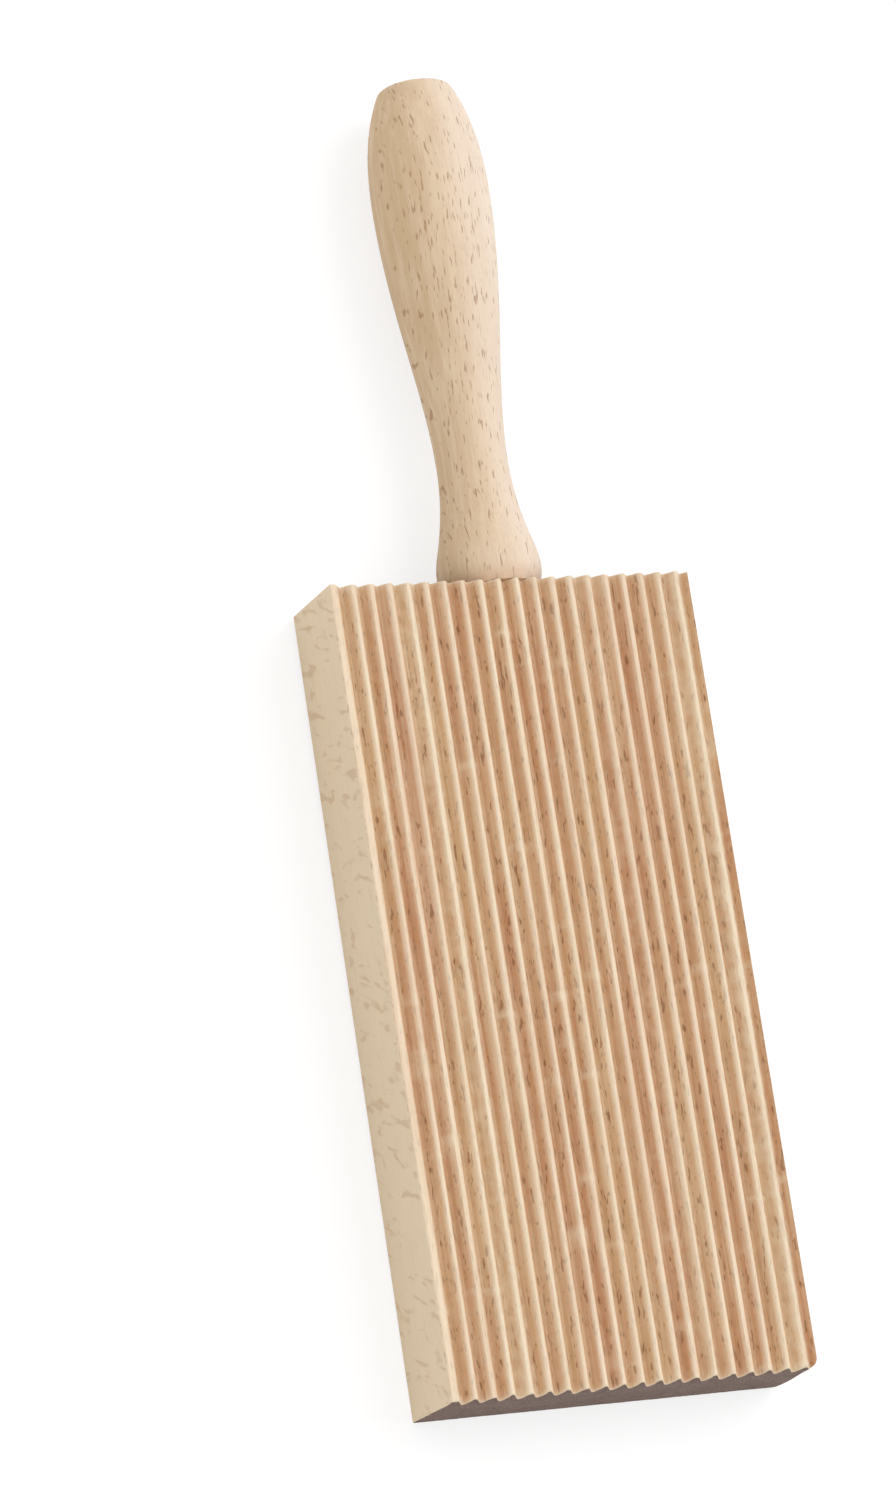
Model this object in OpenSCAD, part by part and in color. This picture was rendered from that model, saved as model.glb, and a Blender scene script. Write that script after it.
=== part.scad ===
// Ridged board for rolling gnocchi. A slab of beech is grooved lengthwise over its whole upper face, and a
// turned handle is glued into a blind hole in the middle of one end. The slab lies on its flat back at z = 0,
// the grooves face up, the handle points to +X, and the origin is the centre of the flat back.

/* [Slab] */
// Length of the slab, along the grooves
board_l = 126.5; // [110:0.5:150]
// Width of the slab, across the grooves
board_w = 60.3; // [50:0.1:80]
// Thickness of the slab, from the flat back to the plain strip
board_t = 17; // [15:0.1:22]
// Bevel along the long edges of the slab
arris = 0.3; // [0.1:0.05:0.8]
// Bevel where the grooves run out at each end
end_break = 0.5; // [0.1:0.05:0.9]

/* [Grooves] */
// Distance from one crest to the next
pitch = 3; // [2.5:0.05:4]
// Plain strip left along the +Y edge, outside the first groove
land_w = 1; // [0.6:0.05:3]
// Angle between the two flanks of a groove
groove_angle = 60; // [55:1:80]
// Rounding at the bottom of a groove
valley_r = 0.3; // [0.1:0.05:0.45]
// Rounding along a crest
crest_r = 0.3; // [0.1:0.05:0.45]
// How far the crests stand below the plain strip
crest_drop = 0.2; // [0.05:0.05:0.4]

/* [Handle] */
// Length of the handle outside the slab
handle_l = 83.5; // [75:0.5:110]
// Radius of the shoulder where it seats on the slab
shoulder_r = 7.5; // [6.5:0.1:8]
// Radius of the rounded foot next to the shoulder
foot_r = 8.25; // [8.1:0.05:9]
// Distance of the foot's widest place from the slab
foot_x = 3.2; // [2.5:0.1:4]
// Radius of the neck
neck_r = 5.66; // [5.2:0.02:7]
// Distance of the neck from the slab
neck_x = 20.7; // [17:0.1:24]
// Radius of the grip at its widest
grip_r = 9.43; // [8.5:0.01:10.5]
// Distance of the grip's widest place from the outer end
grip_back = 18.8; // [15:0.1:24]
// Radius of the flat at the outer end
tip_r = 5; // [3.5:0.1:5.6]
// Rounding between the flat and the grip
tip_round = 1.2; // [0.6:0.1:1.6]

/* [Joint] */
// Radius of the tenon turned on the handle
tenon_r = 4; // [3:0.1:4.5]
// Length of the tenon
tenon_l = 22; // [15:0.5:30]
// Bevel on the end of the tenon
tenon_bevel = 0.8; // [0.3:0.1:1.5]
// Clearance around the tenon, filled by glue
tenon_gap = 0.1; // [0.05:0.01:0.2]
// Room left past the end of the tenon
blind_room = 2; // [1:0.5:4]

/* [Hidden] */
half_angle = groove_angle / 2;
groove_n = ceil((board_w - land_w) / pitch);
// Length and drop of the straight flank between the two roundings
flank_l = (pitch / 2 - (valley_r + crest_r) * cos(half_angle)) / sin(half_angle);
groove_d = flank_l * cos(half_angle) + (valley_r + crest_r) * (1 - sin(half_angle));
crest_z = board_t - crest_drop;
axis_z = board_t / 2;
slab_end = board_l / 2;
grip_x = handle_l - grip_back;
swell_x = neck_x + 0.49 * (grip_x - neck_x);
swell_r = neck_r + 0.53 * (grip_r - neck_r);
cove_x = foot_x + 4.8;
cove_r = neck_r + 0.65 * (foot_r - neck_r);
tip_lean = 65;
nose_x = handle_l - tip_round + tip_round * cos(tip_lean);
nose_r = tip_r + tip_round * sin(tip_lean);
bore_r = tenon_r + tenon_gap;
bore_l = tenon_l + blind_room;
beech = [0.84, 0.72, 0.55];
beech_pale = [0.87, 0.76, 0.60];

// Place of crest number k, counted from the plain strip
function crest_y(k) = board_w / 2 - land_w - pitch * k;

// Points on an arc round c, from angle a to angle b
function arc(c, r, a, b, steps) = [
  for (i = [0 : steps]) c + r * [cos(a + (b - a) * i / steps), sin(a + (b - a) * i / steps)]
];

// One crest and the valley on its +Y side, in order of rising y
function ridge(k) = concat(
  arc([crest_y(k), crest_z - crest_r], crest_r, 180 - half_angle, half_angle, 5),
  arc([crest_y(k) + pitch / 2, crest_z - groove_d + valley_r], valley_r, 180 + half_angle, 360 - half_angle, 4)
);

// The plain strip: its inner corner carries on up the flank of the first groove
function land() = concat(
  arc([crest_y(0) + crest_drop * tan(half_angle), board_t - crest_r], crest_r, 180 - half_angle, 90, 3),
  [[board_w / 2 + pitch, board_t]]
);

// Smooth curve between two stations [x, radius, slope], without its last point
function sweep(p, q, steps) = [
  for (i = [0 : steps - 1])
    let (t = i / steps, w = q.x - p.x)
      [
        (1 + 2 * t) * pow(1 - t, 2) * p.y + t * t * (3 - 2 * t) * q.y
          + w * t * pow(1 - t, 2) * p.z + w * t * t * (t - 1) * q.z,
        p.x + w * t
      ]
];

module grooved_bar() {
  // A bar longer and wider than the slab, with crests and valleys all the way across
  translate([-slab_end - 2, 0, 0])
    rotate([90, 0, 90])
      linear_extrude(height = board_l + 4)
        polygon(concat(
          [[crest_y(groove_n + 1) - pitch / 2, -2]],
          [for (k = [groove_n + 1 : -1 : 1]) each ridge(k)],
          land(),
          [[board_w / 2 + pitch, -2]]
        ));
}

module plain_slab() {
  // The sides, the back and the bevels along them; the bar gives the top
  translate([-slab_end, 0, 0])
    rotate([90, 0, 90])
      linear_extrude(height = board_l)
        polygon([
          [-board_w / 2, arris],
          [arris - board_w / 2, 0],
          [board_w / 2 - arris, 0],
          [board_w / 2, arris],
          [board_w / 2, board_t - arris],
          [board_w / 2 - arris - 1, board_t + 1],
          [-board_w / 2, board_t + 1]
        ]);
}

module end_bevel(side) {
  translate([side * slab_end, 0, board_t])
    rotate([0, 45, 0])
      cube([end_break * sqrt(2), board_w + 4, end_break * sqrt(2)], center = true);
}

module ridged_board() {
  color(beech)
    difference() {
      intersection() {
        plain_slab();
        grooved_bar();
      }
      for (side = [-1, 1])
        end_bevel(side);
      // Blind hole for the tenon, with the cone left by the drill
      translate([slab_end, 0, axis_z])
        rotate([0, -90, 0])
          rotate_extrude($fn = 64)
            polygon([[0, -1], [bore_r, -1], [bore_r, bore_l], [0, bore_l + bore_r * 0.4]]);
    }
}

module turned_handle() {
  color(beech_pale)
    translate([slab_end, 0, axis_z])
      rotate([0, 90, 0])
        rotate_extrude($fn = 96)
          polygon(concat(
            [[0, -tenon_l], [tenon_r - tenon_bevel, -tenon_l], [tenon_r, tenon_bevel - tenon_l], [tenon_r, 0]],
            sweep([0, shoulder_r, 0.45], [foot_x, foot_r, 0], 5),
            sweep([foot_x, foot_r, 0], [cove_x, cove_r, -0.265], 6),
            sweep([cove_x, cove_r, -0.265], [neck_x, neck_r, 0], 8),
            sweep([neck_x, neck_r, 0], [swell_x, swell_r, 0.13], 9),
            sweep([swell_x, swell_r, 0.13], [grip_x, grip_r, 0], 9),
            sweep([grip_x, grip_r, 0], [nose_x, nose_r, -cos(tip_lean) / sin(tip_lean)], 9),
            [for (p = arc([handle_l - tip_round, tip_r], tip_round, tip_lean, 0, 4)) [p.y, p.x]],
            [[0, handle_l]]
          ));
}

ridged_board();
turned_handle();
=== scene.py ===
import math

import bmesh
import bpy
import numpy as np
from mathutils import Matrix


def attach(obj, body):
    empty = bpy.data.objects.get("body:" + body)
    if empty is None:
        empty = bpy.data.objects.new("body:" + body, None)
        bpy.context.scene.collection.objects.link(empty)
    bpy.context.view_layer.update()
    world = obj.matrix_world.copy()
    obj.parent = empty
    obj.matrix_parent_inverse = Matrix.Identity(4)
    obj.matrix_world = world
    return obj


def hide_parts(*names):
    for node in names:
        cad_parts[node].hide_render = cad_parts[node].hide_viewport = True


# A gnocchi board of raw beech: a slab with fine grooves and a turned handle glued into its end.
# Sizes in the dictionaries are millimetres; meshes are written in metres.

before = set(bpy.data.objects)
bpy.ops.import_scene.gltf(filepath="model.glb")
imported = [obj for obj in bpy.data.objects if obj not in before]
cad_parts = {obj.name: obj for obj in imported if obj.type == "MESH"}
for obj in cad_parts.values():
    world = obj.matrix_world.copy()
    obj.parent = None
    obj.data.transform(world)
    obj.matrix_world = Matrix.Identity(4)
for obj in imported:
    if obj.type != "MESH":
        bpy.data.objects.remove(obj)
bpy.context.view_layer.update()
mm = 0.001
latticeSize = 128
mergeWithin, collapseWithin = 2e-6, 1e-7          # metres


# Small helpers

def latticeNoise(u, v, seed):
    # random numbers on a square lattice, eased with 3t^2 - 2t^3 between its points, -1 to 1
    table = np.random.default_rng(seed).uniform(-1, 1, (latticeSize, latticeSize))
    u, v = np.broadcast_arrays(np.asarray(u, float), np.asarray(v, float))
    iu, iv = np.floor(u).astype(int), np.floor(v).astype(int)
    fu, fv = u - iu, v - iv
    fu, fv = fu * fu * (3 - 2 * fu), fv * fv * (3 - 2 * fv)
    left, right = iu % latticeSize, (iu + 1) % latticeSize
    near, far = iv % latticeSize, (iv + 1) % latticeSize
    low = table[left, near] * (1 - fu) + table[right, near] * fu
    high = table[left, far] * (1 - fu) + table[right, far] * fu
    return low * (1 - fv) + high * fv


def eased(t):
    # 0 to 1 with a level start and end, 3t^2 - 2t^3
    t = np.clip(t, 0, 1)
    return t * t * (3 - 2 * t)


def gridFaces(rows, columns, start=0, flip=False):
    # quads between neighbours on a rows x columns grid of points; flip also changes their diagonals
    i, j = np.meshgrid(np.arange(rows - 1), np.arange(columns - 1), indexing="ij")
    a = (start + i * columns + j).ravel()
    quad = np.stack([a, a + 1, a + columns + 1, a + columns], 1)
    return quad[:, ::-1] if flip else quad


def meshPiece(name, points, faces, smoothAngle=40, pointData=None, faceData=None):
    # points in millimetres; merges the patches' shared edges into one closed skin that faces outwards
    mesh = bpy.data.meshes.new(name)
    mesh.from_pydata((np.asarray(points) * mm).tolist(), [], [list(map(int, f)) for f in faces])
    for domain, layers in (("POINT", pointData), ("FACE", faceData)):
        for key, values in (layers or {}).items():
            layer = mesh.attributes.new(key, "FLOAT", domain)
            layer.data.foreach_set("value", np.asarray(values, np.float32))
    work = bmesh.new()
    work.from_mesh(mesh)
    bmesh.ops.remove_doubles(work, verts=work.verts, dist=mergeWithin)
    bmesh.ops.dissolve_degenerate(work, edges=work.edges, dist=collapseWithin)
    bmesh.ops.recalc_face_normals(work, faces=work.faces)
    work.to_mesh(mesh)
    work.free()
    mesh.shade_smooth()
    mesh.set_sharp_from_angle(angle=math.radians(smoothAngle))
    mesh.update()
    piece = bpy.data.objects.new(name, mesh)
    bpy.context.scene.collection.objects.link(piece)
    return piece


# Slab

slab = {
    "length": 126.5, "width": 60.3, "thick": 17.0,
    "pitch": 3.0, "land": 1.0, "crestDrop": 0.2, "valleyR": 0.3, "crestR": 0.3, "flankAngle": 30.0,
    "edgeR": 0.35,            # softened long edge beside the plain strip
    "lowerLean": 0.42,        # how far crest tips are worn back at the open end
    "upperLean": 0.18,        # the same at the handle's end
    "leanReach": 2.9,         # distance from an end over which the lean dies away
    "sawMarks": 0.05,         # roughness of the sawn ends
    "tipBevel": 0.12, "tipBevelLength": 0.16,
    "cornerR": 0.35, "wornCornerR": 2.0, "backEdgeR": 0.3,
    "wander": 0.05, "waver": 0.02,        # how far grooves stray sideways, slowly and quickly
    "boreR": 4.1, "boreDepth": 24.0, "boreCone": 1.6,
    "rows": 236,
    # wear of most crests: least and most that is gone, and how ragged they are
    "wearSeed": 5, "usualWear": (0.05, 0.13), "usualRagged": (0.2, 0.6),
    "tear": 0.05, "fineTear": 0.04, "stripRough": 0.03, "softening": 0.035,
    "chipsAbove": 0.72, "chipDepth": 1.1,
    "wearPeriod": 17, "tearPeriod": 0.9, "fineTearPeriod": 0.45, "chipPeriod": 2.6,
    # wear of single crests, counted from the plain strip: (how much is gone, how ragged)
    "crestWear": {0: (0.02, 0.5), 2: (0.30, 0.5), 4: (0.22, 1.6), 7: (0.12, 0.3), 9: (0.2, 0.5),
                  12: (0.16, 0.6), 14: (0.1, 1.0), 16: (0.18, 0.4), 19: (0.26, 2.0)},
    # grid lines: from a valley to its crest, on the strip, and from an end inwards
    "acrossGroove": (0, 0.16, 0.27, 0.6, 0.95, 1.2, 1.36, 1.5),
    "onStrip": (0.1, 0.2, 0.35, 0.5), "roundEdge": (0.35, 0.25, 0.15, 0.06, 0.0),
    "nearEnd": (0, 0.05, 0.1, 0.16, 0.26, 0.4, 0.6, 0.85, 1.15, 1.5, 1.9, 2.4),
    # levels up a side or an end, as shares of its lower and of its upper half
    "lowLevels": (0, 0.012, 0.024, 0.036, 0.1, 0.3, 0.6, 0.8, 1.0),
    "highLevels": (0, 0.2, 0.4, 0.56, 0.66, 0.74, 0.8, 0.86, 0.92, 0.97, 1.0),
}


def slabSizes():
    # what follows from the driving sizes
    s = slab
    angle = math.radians(s["flankAngle"])
    flank = (s["pitch"] / 2 - (s["valleyR"] + s["crestR"]) * math.cos(angle)) / math.sin(angle)
    depth = flank * math.cos(angle) + (s["valleyR"] + s["crestR"]) * (1 - math.sin(angle))
    s["halfL"], s["halfW"], s["axisZ"] = s["length"] / 2, s["width"] / 2, s["thick"] / 2
    s["crestZ"] = s["thick"] - s["crestDrop"]
    s["valleyZ"] = s["crestZ"] - depth
    s["depth"] = depth
    s["firstCrest"] = s["halfW"] - s["land"]
    s["firstValley"] = s["firstCrest"] - s["pitch"] / 2
    s["grooves"] = math.ceil((s["width"] - s["land"]) / s["pitch"])


slabSizes()


def grooveHeight(y):
    # height of the fresh cut: round valley, straight flank 30 degrees off upright, round crest, plain strip
    s = slab
    angle = math.radians(s["flankAngle"])
    away = np.abs((s["firstValley"] - y + s["pitch"] / 2) % s["pitch"] - s["pitch"] / 2)
    rv, rc = s["valleyR"], s["crestR"]
    tangent = rv * math.cos(angle)
    flank = s["valleyZ"] + rv * (1 - math.sin(angle)) + (away - tangent) / math.tan(angle)
    valley = s["valleyZ"] + rv - np.sqrt(np.maximum(rv * rv - away * away, 0))
    fromCrest = s["pitch"] / 2 - away
    crest = s["crestZ"] - rc + np.sqrt(np.maximum(rc * rc - fromCrest ** 2, 0))
    z = np.where(away < tangent, valley, np.where(fromCrest < rc * math.cos(angle), crest, flank))
    # the flank of the first groove carries on up to the plain strip
    stripCorner = s["firstCrest"] + s["crestDrop"] * math.tan(angle)
    reach = stripCorner - y
    strip = s["thick"] - rc + np.sqrt(np.maximum(rc * rc - np.clip(reach, 0, rc) ** 2, 0))
    pastTangent = y - s["firstValley"] - tangent
    firstFlank = s["valleyZ"] + rv * (1 - math.sin(angle)) + pastTangent / math.tan(angle)
    onStrip = y > s["firstValley"] + tangent
    z = np.where(onStrip, np.where(reach < rc * math.cos(angle), strip, firstFlank), z)
    edge = np.clip(s["edgeR"] - (s["halfW"] - y), 0, s["edgeR"])
    return z - (s["edgeR"] - np.sqrt(s["edgeR"] ** 2 - edge ** 2))


def slabColumns():
    # places across the slab, closest together on valleys and crests
    s = slab
    half = np.array(s["acrossGroove"])
    around = np.concatenate([-half[:0:-1], half])
    valleys = s["firstValley"] - s["pitch"] * np.arange(s["grooves"])
    y = (valleys[:, None] + around[None, :]).ravel()
    y = y[(y > -s["halfW"] + 0.12) & (y < s["firstCrest"] + 0.01)]
    strip = s["firstCrest"] + np.array(s["onStrip"])
    edge = s["halfW"] - np.array(s["roundEdge"])
    other = -s["halfW"] + np.array([0.0, 0.05])
    bore = s["boreR"] * np.array([-1, 1])
    y = np.unique(np.round(np.concatenate([y, strip, edge, other, bore]), 4))
    return y[::-1]                                   # from the plain strip to the cut-off groove


def slabRows():
    # places along the slab, closest together at its ends
    s = slab
    near = np.array(s["nearEnd"])
    start = s["leanReach"] - s["halfL"]
    inner = np.linspace(start, -start, s["rows"] - 2 * len(near))
    return np.concatenate([-s["halfL"] + near, inner, (s["halfL"] - near)[::-1]])


def wornTop(x, y):
    # the fresh cut, kept below a ragged level for each crest with a soft minimum, and chipped in places
    s = slab
    z = grooveHeight(y)
    crest = np.clip(np.round((s["firstCrest"] - y) / s["pitch"]), 0, s["grooves"]).astype(int)
    spread = np.random.default_rng(s["wearSeed"])
    gone = spread.uniform(*s["usualWear"], s["grooves"] + 1)
    ragged = spread.uniform(*s["usualRagged"], s["grooves"] + 1)
    for k, wear in s["crestWear"].items():
        gone[k], ragged[k] = wear
    slow = latticeNoise(x / s["wearPeriod"], crest * 3.7, 11)
    fine = latticeNoise(x / s["tearPeriod"], crest * 5.3 + y * 2.2, 12)
    finest = latticeNoise(x / s["fineTearPeriod"], y * 3.1, 13)
    chance = latticeNoise(x / s["chipPeriod"], crest * 2.9, 14)
    chip = np.maximum(chance - s["chipsAbove"], 0) * s["chipDepth"]
    rough = ragged[crest] * (s["tear"] * fine + s["fineTear"] * finest)
    level = s["crestZ"] - gone[crest] * (1 + 0.6 * slow) - rough - chip
    onStrip = y > s["firstCrest"] + 0.02
    level = np.where(onStrip, s["thick"] + s["stripRough"] * (1 - fine), level)
    soft = s["softening"]
    low = np.minimum(z, level)
    z = low - soft * np.log(np.exp(-(z - low) / soft) + np.exp(-(level - low) / soft))
    torn = np.clip(ragged[crest] * (0.5 + 0.5 * fine) * 0.6 + chip * 3, 0, 1)
    return z, torn


def endLean(y, z, side):
    # how far an end stands back from its plane: crest tips lean back, and the saw left it slightly rough
    s = slab
    rise = np.clip((z - s["valleyZ"] + 0.1) / s["depth"], 0, 1.1) ** 1.4
    lean = s["lowerLean"] if side < 0 else s["upperLean"]
    calm = 1 - 0.55 * eased((y - s["firstCrest"] + 0.3) / 0.5)
    ragged = 0.5 + 0.5 * latticeNoise(y / 0.55, z / 0.5, 21 if side < 0 else 22)
    broad = 0.5 + 0.5 * latticeNoise(y / 3.1, z / 4, 23 if side < 0 else 24)
    return lean * rise * calm * (0.75 + 0.5 * ragged) + s["sawMarks"] * (ragged + broad)


def leanedX(x, y, z):
    # x drawn in by the end's lean, which dies away with distance from the end
    side = np.sign(x)
    lean = np.where(side < 0, endLean(y, z, -1), endLean(y, z, 1))
    fromEnd = slab["halfL"] - np.abs(x)
    return x - side * lean * np.clip(1 - fromEnd / slab["leanReach"], 0, 1)


def sweptTop(x, y):
    # places the top's points: grooves wander a few hundredths, the ends lean and have a small soft edge
    s = slab
    z, torn = wornTop(x, y)
    fromEnd = s["halfL"] - np.abs(x)
    z = z - s["tipBevel"] * np.clip(1 - fromEnd / s["tipBevelLength"], 0, 1) ** 1.5
    valley = np.round((s["firstValley"] - y) / s["pitch"])
    steady = eased((s["halfW"] - np.abs(y) - 0.3) / 1.2)
    sideways = (s["wander"] * latticeNoise(x / 34, valley * 7.1, 31)
                + s["waver"] * latticeNoise(x / 5, y / 1.2, 32))
    return leanedX(x, y, z), y + sideways * steady * eased(fromEnd / 1.5), z, torn


def roundedCorners(p):
    # plan corners turned to a radius, larger and worn at one of them, then the edges of the flat back
    s = slab
    x, y, z = p[:, 0].copy(), p[:, 1].copy(), p[:, 2].copy()
    worn = (x < 0) & (y < 0)
    r = np.where(worn, s["cornerR"] + (s["wornCornerR"] - s["cornerR"]) * eased((z - 3) / 12), s["cornerR"])
    ox = np.maximum(np.abs(x) - (s["halfL"] - r), 0)
    oy = np.maximum(np.abs(y) - (s["halfW"] - r), 0)
    reach = np.hypot(ox, oy)
    pull = np.where(reach > r, r / np.maximum(reach, 1e-9), 1)
    x = np.sign(x) * (np.abs(x) - ox + ox * pull)
    y = np.sign(y) * (np.abs(y) - oy + oy * pull)
    rb = s["backEdgeR"]
    ox = np.maximum(np.abs(x) - (s["halfL"] - rb), 0)
    oy = np.maximum(np.abs(y) - (s["halfW"] - rb), 0)
    oz = np.maximum(rb - z, 0)
    reach = np.sqrt(ox ** 2 + oy ** 2 + oz ** 2)
    pull = np.where((reach > rb) & (oz > 0), rb / np.maximum(reach, 1e-9), 1)
    x = np.sign(x) * (np.abs(x) - ox + ox * pull)
    y = np.sign(y) * (np.abs(y) - oy + oy * pull)
    z = z + oz - oz * pull
    return np.stack([x, y, z], 1)


class Skin:
    # patches of points and faces, with what the material reads from them
    def __init__(self):
        self.points, self.faces = [], []
        self.pointData = {"crest": [], "fray": []}
        self.faceData = {"cutEnd": [], "sideFace": []}
        self.count = 0

    def add(self, x, y, z, faces=None, flip=False, crest=0, fray=0, cutEnd=0, sideFace=0):
        shape = np.shape(x)
        faces = gridFaces(*shape, self.count, flip).tolist() if faces is None else faces
        self.points.append(np.stack([x.ravel(), y.ravel(), z.ravel()], 1))
        self.faces.extend(faces)
        for key, value in (("crest", crest), ("fray", fray)):
            self.pointData[key].append(np.broadcast_to(value, shape).ravel())
        for key, value in (("cutEnd", cutEnd), ("sideFace", sideFace)):
            self.faceData[key].append(np.full(len(faces), float(value)))
        self.count += x.size

    def joined(self, layers):
        return {key: np.concatenate(parts) for key, parts in layers.items()}


def levelsUp(top, opening=0):
    # heights below and above the middle line, which parts by opening on each side of the bore
    middle = slab["axisZ"]
    low = np.array(slab["lowLevels"])[:, None] * (middle - opening)
    high = middle + opening + np.array(slab["highLevels"])[:, None] * (top - middle - opening)
    return low, high


def addSides(skin, rows, ty, tz):
    for j, flip in ((0, True), (-1, False)):
        top = tz[:, j][None, :]
        low, high = levelsUp(top)
        z = np.concatenate([low + 0 * top, high[1:]])
        x, y = np.broadcast_arrays(rows[None, :], ty[:, j][None, :], z)[:2]
        skin.add(leanedX(x, y, z), y, z, flip=flip, fray=0.5 * np.exp(-(top - z) / 0.3), sideFace=1)


def addEnds(skin, ty, tz):
    s = slab
    for side, i in ((-1, 0), (1, -1)):
        y, top = ty[i][None, :], tz[i][None, :]
        opening = np.sqrt(np.maximum(s["boreR"] ** 2 - y ** 2, 0)) if side > 0 else 0 * y
        for z in levelsUp(top, opening):
            across = np.broadcast_to(y, z.shape)
            x = leanedX(side * s["halfL"] + 0 * z, across, z)
            skin.add(x, across, z, flip=side < 0, fray=np.exp(-(top - z) / 0.2), cutEnd=1)


def addBore(skin, ty):
    # lower and upper half of the wall, and of the cone left by the drill
    s = slab
    y = ty[-1][np.abs(ty[-1]) <= s["boreR"] + 1e-6]
    chord = np.sqrt(np.maximum(s["boreR"] ** 2 - y ** 2, 0))
    depth = np.array([0, 6, 12, 18, s["boreDepth"], s["boreDepth"] + s["boreCone"]])[:, None]
    shrink = np.array([1, 1, 1, 1, 1, 0.0])[:, None]
    for half in (-1, 1):
        z = s["axisZ"] + half * shrink * chord[None, :]
        across = shrink * y[None, :]
        x = s["halfL"] - depth + 0 * z
        x[0] = leanedX(x[0], across[0], z[0])
        skin.add(x, across, z, flip=half < 0, cutEnd=1)


def addBack(skin, rows, ty):
    # one flat face round the lower edges of sides and ends
    xs = [rows, np.full(ty.shape[1], rows[-1]), rows[::-1], np.full(ty.shape[1], rows[0])]
    ys = [ty[:, 0], ty[-1], ty[::-1, -1], ty[0, ::-1]]
    x = np.concatenate([part[:-1] for part in xs])
    y = np.concatenate([part[:-1] for part in ys])
    around = (skin.count + np.arange(len(x))).tolist()
    skin.add(leanedX(x, y, 0 * y), y, 0 * y, faces=[around])


def buildSlab():
    rows, skin = slabRows(), Skin()
    gx, gy = np.meshgrid(rows, slabColumns(), indexing="ij")
    x, y, z, torn = sweptTop(gx, gy)
    fromEnd = slab["halfL"] - np.abs(gx)
    # height up the groove, 0 in a valley and 1 on a crest; the material paints a highlight on the crests
    # from it
    crest = np.clip((z - slab["valleyZ"]) / slab["depth"], 0, 1)
    skin.add(x, y, z, flip=True, crest=crest, fray=np.clip(torn + 0.9 * np.exp(-fromEnd / 0.35), 0, 1))
    addSides(skin, rows, y, z)
    addEnds(skin, y, z)
    addBore(skin, y)
    addBack(skin, rows, y)
    shaped = roundedCorners(np.concatenate(skin.points))
    return meshPiece("ridged_slab", shaped, skin.faces, 42,
                     skin.joined(skin.pointData), skin.joined(skin.faceData))


slabPiece = buildSlab()
print("slab:", len(slabPiece.data.vertices), "points")


# Handle

handle = {
    "length": 83.5, "segments": 112,
    # distance from the slab, radius, slope
    "stations": [(0, 7.5, 0.45), (3.2, 8.25, 0), (8, 7.34, -0.265), (20.7, 5.66, 0), (42.26, 7.66, 0.13),
                 (64.7, 9.43, 0), (82.81, 6.09, -0.466)],
    "tipR": 5.0, "tipRound": 1.2,
    "tenonR": 4.0, "tenonLength": 22.0, "tenonBevel": 0.8,
    "seat": 0.02,             # how far the shoulder's face is let into the slab's plane
    "shoulderRings": (6.0, 7.42), "tipRings": (3.6, 2.0, 0),
    "unevenness": 0.035,
}


def stationCurve(stations, step=0.8):
    # cubic Hermite curve through (place, radius, slope)
    out = []
    for (x0, r0, m0), (x1, r1, m1) in zip(stations[:-1], stations[1:]):
        w = x1 - x0
        t = np.linspace(0, 1, max(5, int(round(w / step))) + 1)[:-1]
        r = ((1 + 2 * t) * (1 - t) ** 2 * r0 + t * t * (3 - 2 * t) * r1
             + w * t * (1 - t) ** 2 * m0 + w * t * t * (t - 1) * m1)
        out.append(np.column_stack([x0 + w * t, r]))
    return np.concatenate(out)


def buildHandle():
    # profile turned about the handle's axis; the radius varies a little, as hand sanding leaves it
    h = handle
    lean = np.radians(np.linspace(65, 0, 6))
    nose = np.column_stack([h["length"] - h["tipRound"] + h["tipRound"] * np.cos(lean),
                            h["tipR"] + h["tipRound"] * np.sin(lean)])
    tenon = np.array([[-h["tenonLength"], 0], [-h["tenonLength"], h["tenonR"] - h["tenonBevel"]],
                      [-h["tenonLength"] + h["tenonBevel"], h["tenonR"]], [-h["seat"], h["tenonR"]]])
    shoulder = np.array([[-h["seat"], r] for r in h["shoulderRings"]])
    disc = np.array([[h["length"], r] for r in h["tipRings"]])
    profile = np.concatenate([tenon, shoulder, stationCurve(h["stations"]), nose, disc])
    turn = np.linspace(0, 2 * np.pi, h["segments"] + 1)[:-1]
    along, radius = profile[:, 0][:, None], profile[:, 1][:, None]
    grip = eased(along / 3) * eased((h["length"] - 1.5 - along) / 3)
    slow = latticeNoise(along / 9, 4 + 2.2 * np.cos(turn)[None, :], 41)
    quick = latticeNoise(along / 3.1, 9 + 3.0 * np.sin(turn)[None, :], 42)
    wobble = slow + 0.5 * quick
    radius = np.maximum(radius - h["unevenness"] * grip * (0.6 + 0.5 * wobble), 0)
    x = slab["halfL"] + along + 0 * turn[None, :]
    y = radius * np.sin(turn)[None, :]
    z = slab["axisZ"] + radius * np.cos(turn)[None, :]
    points = np.stack([x.ravel(), y.ravel(), z.ravel()], 1)
    rows, n = x.shape
    i, j = np.meshgrid(np.arange(rows - 1), np.arange(n), indexing="ij")
    a, b = (i * n + j).ravel(), (i * n + (j + 1) % n).ravel()
    quads = np.stack([a, b, b + n, a + n], 1)
    # painted shade in a band about 2.5 mm either side of the shoulder, where the grip meets the slab
    foot = np.clip(1 - np.abs(along - 0.3) / 2.5, 0, 1) + 0 * turn[None, :]
    tip = eased((along - (h["length"] - 0.25)) / 0.2) + 0 * turn[None, :]
    return meshPiece("turned_grip", points, quads.tolist(), 50, {"foot": foot.ravel(), "tip": tip.ravel()})


handlePiece = buildHandle()
print("handle:", len(handlePiece.data.vertices), "points")


# Shader maths

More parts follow.
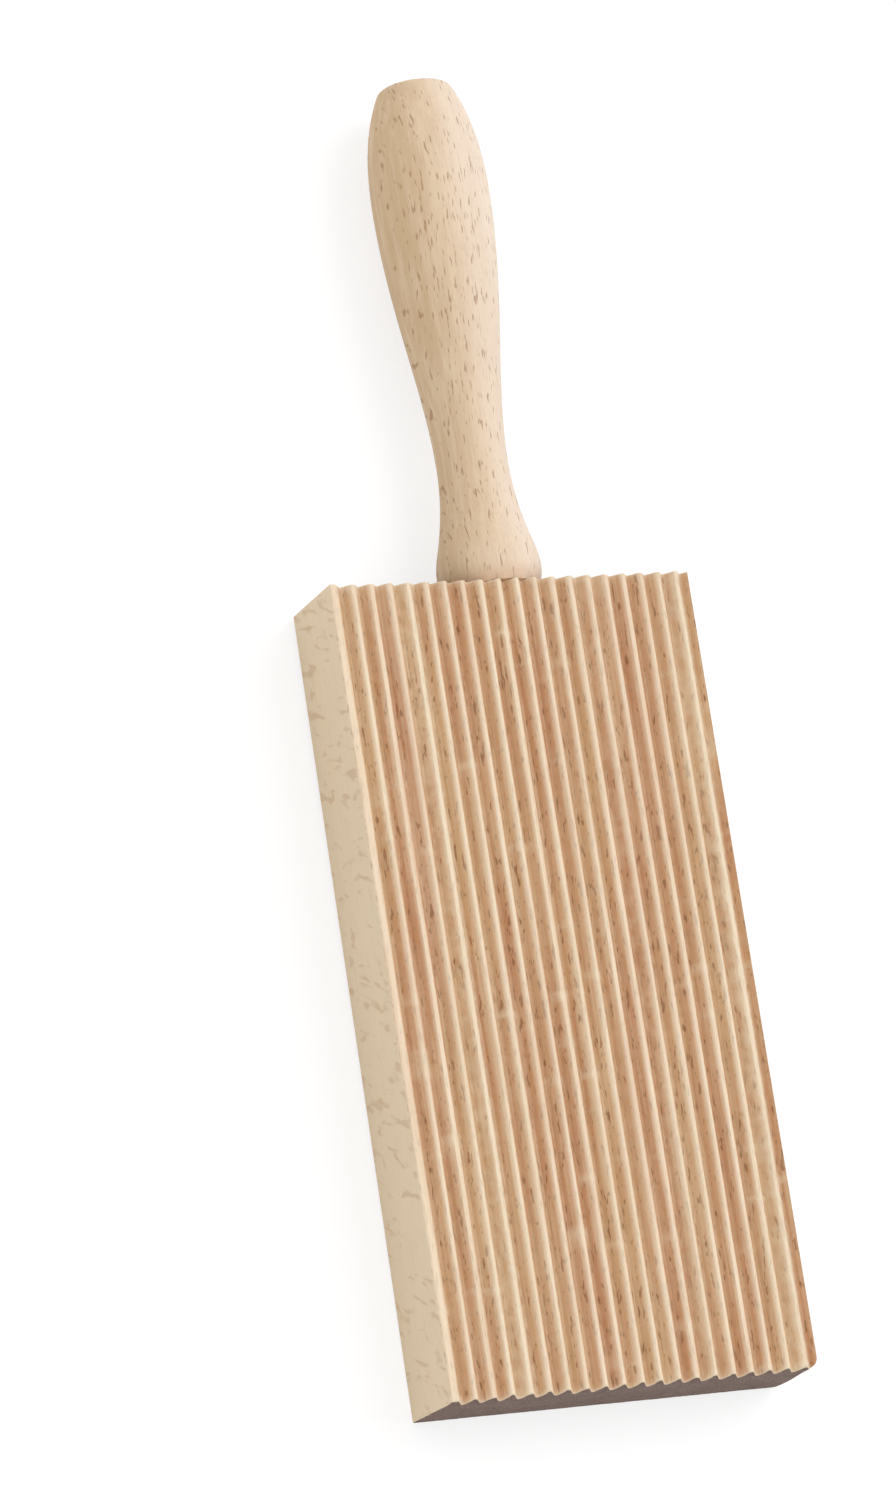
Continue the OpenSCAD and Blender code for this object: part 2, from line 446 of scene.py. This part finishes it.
class Signal:
    # one shader socket; ordinary operators on it add Math nodes
    def __init__(self, graph, socket):
        self.graph, self.socket = graph, socket

    def maths(self, operation, a, b):
        return self.graph.add("ShaderNodeMath", {"operation": operation}, {0: a, 1: b})

    def __add__(self, other):
        return self.maths("ADD", self, other)

    def __radd__(self, other):
        return self.maths("ADD", other, self)

    def __sub__(self, other):
        return self.maths("SUBTRACT", self, other)

    def __rsub__(self, other):
        return self.maths("SUBTRACT", other, self)

    def __mul__(self, other):
        return self.maths("MULTIPLY", self, other)

    def __rmul__(self, other):
        return self.maths("MULTIPLY", other, self)

    def larger(self, other):
        return self.maths("MAXIMUM", self, other)

    def smaller(self, other):
        return self.maths("MINIMUM", self, other)

    def between(self, low, high):
        # 0 below low, 1 above high, eased between
        return self.graph.add("ShaderNodeMapRange", {"interpolation_type": "SMOOTHSTEP"},
                              {"Value": self, "From Min": low, "From Max": high})


class Graph:
    # the nodes of a material or of the world
    def __init__(self, owner):
        owner.use_nodes = True
        self.owner, self.tree = owner, owner.node_tree
        self.tree.nodes.clear()

    def add(self, kind, settings=None, values=None, output=0):
        node = self.tree.nodes.new(kind)
        for key, value in (settings or {}).items():
            setattr(node, key, value)
        for key, value in (values or {}).items():
            if isinstance(value, Signal):
                self.tree.links.new(value.socket, node.inputs[key])
            elif node.inputs[key].type == "RGBA":
                node.inputs[key].default_value = (*value, 1)
            else:
                node.inputs[key].default_value = value
        return Signal(self, node.outputs[output] if len(node.outputs) else None)

    def attribute(self, name):
        return self.add("ShaderNodeAttribute", {"attribute_name": name}, output="Fac")

    def place(self, periods, shift=(0, 0, 0), turn=(0, 0, 0)):
        # Object coordinates divided by a period in millimetres along each axis
        here = self.add("ShaderNodeTexCoord", output="Object")
        turned = self.add("ShaderNodeMapping", {"vector_type": "POINT"}, {"Vector": here, "Rotation": turn})
        scale = tuple(1 / (p * mm) for p in periods)
        return self.add("ShaderNodeMapping", {"vector_type": "POINT"},
                        {"Vector": turned, "Scale": scale, "Location": shift})

    def noise(self, where, detail=2.0, roughness=0.5, distortion=0.0):
        return self.add("ShaderNodeTexNoise", {"noise_dimensions": "3D"},
                        {"Vector": where, "Scale": 1.0, "Detail": detail, "Roughness": roughness,
                         "Distortion": distortion}, output="Fac")

    def mix(self, factor, a, b):
        # the Mix node's colour sockets share their names with its number sockets, so they go by index
        return self.add("ShaderNodeMix", {"data_type": "RGBA"}, {0: factor, 6: a, 7: b}, output=2)

    def finish(self, color, roughness, height, bumpDistance, bumpStrength, specular):
        bump = self.add("ShaderNodeBump", None, {"Strength": bumpStrength, "Distance": bumpDistance,
                                                 "Height": height}, output="Normal")
        surface = self.add("ShaderNodeBsdfPrincipled", None,
                           {"Base Color": color, "Roughness": roughness, "Normal": bump,
                            "IOR": 1.45, "Specular IOR Level": specular})
        self.add("ShaderNodeOutputMaterial", None, {"Surface": surface})
        return self.owner


def linear(*rgb):
    # an sRGB colour in 0-255 as linear numbers
    shares = [c / 255 for c in rgb]
    return tuple(c / 12.92 if c <= 0.04045 else ((c + 0.055) / 1.055) ** 2.4 for c in shares)


# Beech

beechLook = {
    # the warm colour is the wood's random warm tone on the slab, and also painted shade round the grip's
    # foot
    "tan": linear(214, 179, 138), "pale": linear(232, 208, 176), "warmToneAndShade": linear(205, 155, 116),
    # the crest colour is a painted highlight laid along the groove crests
    "ray": linear(146, 98, 62), "crest": linear(247, 231, 206), "dusk": linear(170, 130, 92),
    "side": linear(228, 208, 178), "sideRay": linear(188, 148, 112),
    "endGrain": linear(150, 128, 116), "endDark": linear(104, 84, 76), "fuzz": linear(238, 220, 192),
    # the two handle colours are lit and shaded copies: pale for the side the key light falls on, tan for
    # the shaded side
    "handleLitPale": linear(240, 222, 204), "handleShadedTan": linear(206, 176, 138),
    "handleStreak": linear(236, 214, 186),
}

# grain patterns: period in millimetres along the grain, across it and up the thickness, then the
# pattern's start and, for the side's rays, a turn in radians; rays are thin ribbons, long up the
# thickness and short along the grain
slabGrain = {
    "broad": ((60, 7, 5), (3, 1, 7)), "streak": ((26, 0.9, 0.9), (1, 4, 2)),
    "fibre": ((9, 0.22, 0.22), (5, 0, 3)), "speck": ((0.5, 0.28, 0.28), (7, 7, 0)),
    "ray": ((2.1, 0.30, 4.5), (0, 9, 4)), "shortRay": ((1.1, 0.22, 3.0), (8, 2, 1)),
    "sideRay": ((1.5, 0.5, 5.0), (2, 6, 5), (0, 0.35, 0)),
    "bump": 0.12,
}
handleGrain = {
    "broad": ((70, 9, 9), (2, 3, 1)), "streak": ((34, 1.3, 1.3), (4, 1, 6)),
    "fibre": ((9, 0.25, 0.25), (3, 3, 3)), "ray": ((2.2, 0.34, 3.6), (6, 5, 4)),
    "bump": 0.08,
}


def beechSlab():
    look, grain, g = beechLook, slabGrain, Graph(bpy.data.materials.new("beechSlab"))
    crest, fray = g.attribute("crest"), g.attribute("fray")
    end, side = g.attribute("cutEnd"), g.attribute("sideFace")
    broad = g.noise(g.place(*grain["broad"]), 2)
    streak = g.noise(g.place(*grain["streak"]), 3, 0.6)
    fibre = g.noise(g.place(*grain["fibre"]), 2, 0.65)
    ray = g.noise(g.place(*grain["ray"]), 1.5, 0.45).between(0.62, 0.70)
    shortRay = g.noise(g.place(*grain["shortRay"]), 1.0, 0.4).between(0.64, 0.72)
    sideRay = g.noise(g.place(*grain["sideRay"]), 2.0, 0.5, 0.4).between(0.56, 0.70)
    speck = g.noise(g.place(*grain["speck"]), 3, 0.7)

    top = g.mix(broad.between(0.3, 0.7), look["tan"], look["warmToneAndShade"])
    top = g.mix(streak.between(0.42, 0.68) * 0.55, top, look["pale"])
    top = g.mix(fibre.between(0.5, 0.75) * 0.35, top, look["dusk"])
    top = g.mix((ray * 0.75 + shortRay * 0.45).smaller(0.85), top, look["ray"])
    # painted highlight along the crests, where they catch the light, broken up by the streaks
    top = g.mix(crest.between(0.45, 0.95) * (0.35 + 0.5 * streak), top, look["crest"])
    top = g.mix((fray * (0.4 + fibre)).smaller(1) * 0.8, top, look["fuzz"])

    face = g.mix(broad.between(0.35, 0.65) * 0.5, look["side"], look["pale"])
    face = g.mix(fibre.between(0.45, 0.7) * 0.12, face, look["dusk"])
    face = g.mix(sideRay * 0.4, face, look["sideRay"])
    face = g.mix(fray * 0.8, face, look["fuzz"])

    cut = g.mix(speck.between(0.35, 0.65), look["endDark"], look["endGrain"])
    cut = g.mix(broad.between(0.4, 0.6) * 0.3, cut, look["endDark"])
    cut = g.mix(fray.between(0.35, 0.9) * 0.9, cut, look["fuzz"])

    color = g.mix(side, g.mix(end, top, cut), face)
    height = fibre * 0.5 + streak * 0.4 - ray * 0.5 + speck * (0.2 + end * 1.2 + fray * 1.5)
    roughness = 0.72 - 0.08 * streak + 0.1 * end
    return g.finish(color, roughness, height, grain["bump"] * mm, 0.6, 0.35)


def beechHandle():
    look, grain, g = beechLook, handleGrain, Graph(bpy.data.materials.new("beechHandle"))
    foot, tip = g.attribute("foot"), g.attribute("tip")
    broad = g.noise(g.place(*grain["broad"]), 2)
    streak = g.noise(g.place(*grain["streak"]), 3, 0.55)
    fibre = g.noise(g.place(*grain["fibre"]), 2, 0.65)
    ray = g.noise(g.place(*grain["ray"]), 1.2, 0.45).between(0.62, 0.70)
    across = g.add("ShaderNodeSeparateXYZ", None, {0: g.place((1, 1, 1))}, output="Y")    # millimetres
    # painted shade: the handle's +Y half, turned away from the key light, is mixed towards tan and its -Y
    # half towards pale, with a little random tone from the broad noise
    shadedSide = (across * 0.055 + 0.5 + (broad - 0.5) * 0.6).between(0.1, 0.95)
    color = g.mix(shadedSide, look["handleLitPale"], look["handleShadedTan"])
    color = g.mix(streak.between(0.4, 0.7) * 0.35, color, look["handleStreak"])
    color = g.mix(fibre.between(0.5, 0.75) * 0.22, color, look["dusk"])
    color = g.mix(ray * 0.55, color, look["ray"])
    # painted shade: a warm brown band round the grip's foot, where it meets the slab
    color = g.mix(foot * 0.35, color, look["warmToneAndShade"])
    color = g.mix(tip * 0.5, color, look["endGrain"])
    height = fibre * 0.5 + streak * 0.5 - ray * 0.4
    return g.finish(color, 0.58 - 0.05 * streak, height, grain["bump"] * mm, 0.5, 0.4)


slabPiece.data.materials.append(beechSlab())
handlePiece.data.materials.append(beechHandle())
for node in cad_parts.values():
    node.data.materials.clear()
    node.data.materials.append(slabPiece.data.materials[0])
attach(slabPiece, "root")
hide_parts("ridged_board")
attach(handlePiece, "root")
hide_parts("turned_handle")
print("beech: done")


# Floor, light, camera

studio = {
    "floorHalf": 1.6,             # metres
    "floorGap": 0.02, "skyLight": 0.62, "paper": 0.8, "paperSeen": 0.36, "paperGlow": 0.70,
    "key": {"toward": (0.25, -0.55, 0.8), "strength": 1.35, "angle": 50},
    "fill": {"toward": (0.1, 0.75, 0.6), "strength": 0.6, "angle": 80},
}


def buildFloor():
    # a plane that touches the grip's lowest point and the far lower edge of the slab
    gripPlace, gripR, _ = handle["stations"][-2]
    low = slab["axisZ"] - gripR
    gripX = slab["halfL"] + gripPlace
    slope = low / (gripX + slab["halfL"])
    half = studio["floorHalf"] / mm
    corner = np.array([[-half, -half], [half, -half], [half, half], [-half, half]])
    z = (corner[:, 0] + slab["halfL"]) * slope - studio["floorGap"]
    floor = meshPiece("floor", np.column_stack([corner, z]), [[0, 1, 2, 3]])
    g = Graph(bpy.data.materials.new("paperFloor"))
    path = g.add("ShaderNodeLightPath", output="Is Camera Ray")
    glossy = g.add("ShaderNodeLightPath", output="Is Glossy Ray")
    paper = g.add("ShaderNodeBsdfDiffuse", None, {"Color": (studio["paper"],) * 3})
    seen = g.add("ShaderNodeBsdfDiffuse", None, {"Color": (studio["paperSeen"],) * 3})
    glow = g.add("ShaderNodeEmission", None, {"Color": (1, 1, 1), "Strength": studio["paperGlow"]})
    white = g.add("ShaderNodeAddShader", None, {0: seen, 1: glow})
    both = g.add("ShaderNodeMixShader", None, {0: path.larger(glossy), 1: paper, 2: white})
    g.add("ShaderNodeOutputMaterial", None, {"Surface": both})
    floor.data.materials.append(g.owner)


def buildLight():
    # white for the camera, an even dim sky for the object, and two soft suns
    world = bpy.data.worlds.new("studio")
    bpy.context.scene.world = world
    g = Graph(world)
    seen = g.add("ShaderNodeLightPath", output="Is Camera Ray")
    strength = g.add("ShaderNodeMapRange", None,
                     {"Value": seen, "To Min": studio["skyLight"], "To Max": 1.0})
    sky = g.add("ShaderNodeBackground", None, {"Color": (1, 1, 1), "Strength": strength})
    g.add("ShaderNodeOutputWorld", None, {"Surface": sky})
    for name in ("key", "fill"):
        spec = studio[name]
        lamp = bpy.data.lights.new(name, "SUN")
        lamp.energy = spec["strength"]
        lamp.angle = math.radians(spec["angle"])
        holder = bpy.data.objects.new(name, lamp)
        toward = np.array(spec["toward"], float)
        toward /= np.linalg.norm(toward)
        holder.rotation_euler = (0, math.acos(toward[2]), math.atan2(toward[1], toward[0]))
        bpy.context.scene.collection.objects.link(holder)


# place in metres, turn in degrees, lens in millimetres on a 36 mm tall picture
cameraSetup = {"place": (-0.17515, 0.35271, 0.81586), "turn": (17.06081, -20.59202, -99.08246),
               "lens": 140.940, "picture": 36.0}


def buildCamera():
    lens = bpy.data.cameras.new("view")
    lens.sensor_fit = "VERTICAL"
    lens.sensor_width = lens.sensor_height = cameraSetup["picture"]
    lens.lens = cameraSetup["lens"]
    lens.clip_start, lens.clip_end = 0.01, 20
    camera = bpy.data.objects.new("view", lens)
    camera.location = cameraSetup["place"]
    camera.rotation_euler = [math.radians(a) for a in cameraSetup["turn"]]
    bpy.context.scene.collection.objects.link(camera)
    bpy.context.scene.camera = camera


buildFloor()
buildLight()
buildCamera()
bpy.context.scene.view_settings.view_transform = "Standard"
print("studio: done")
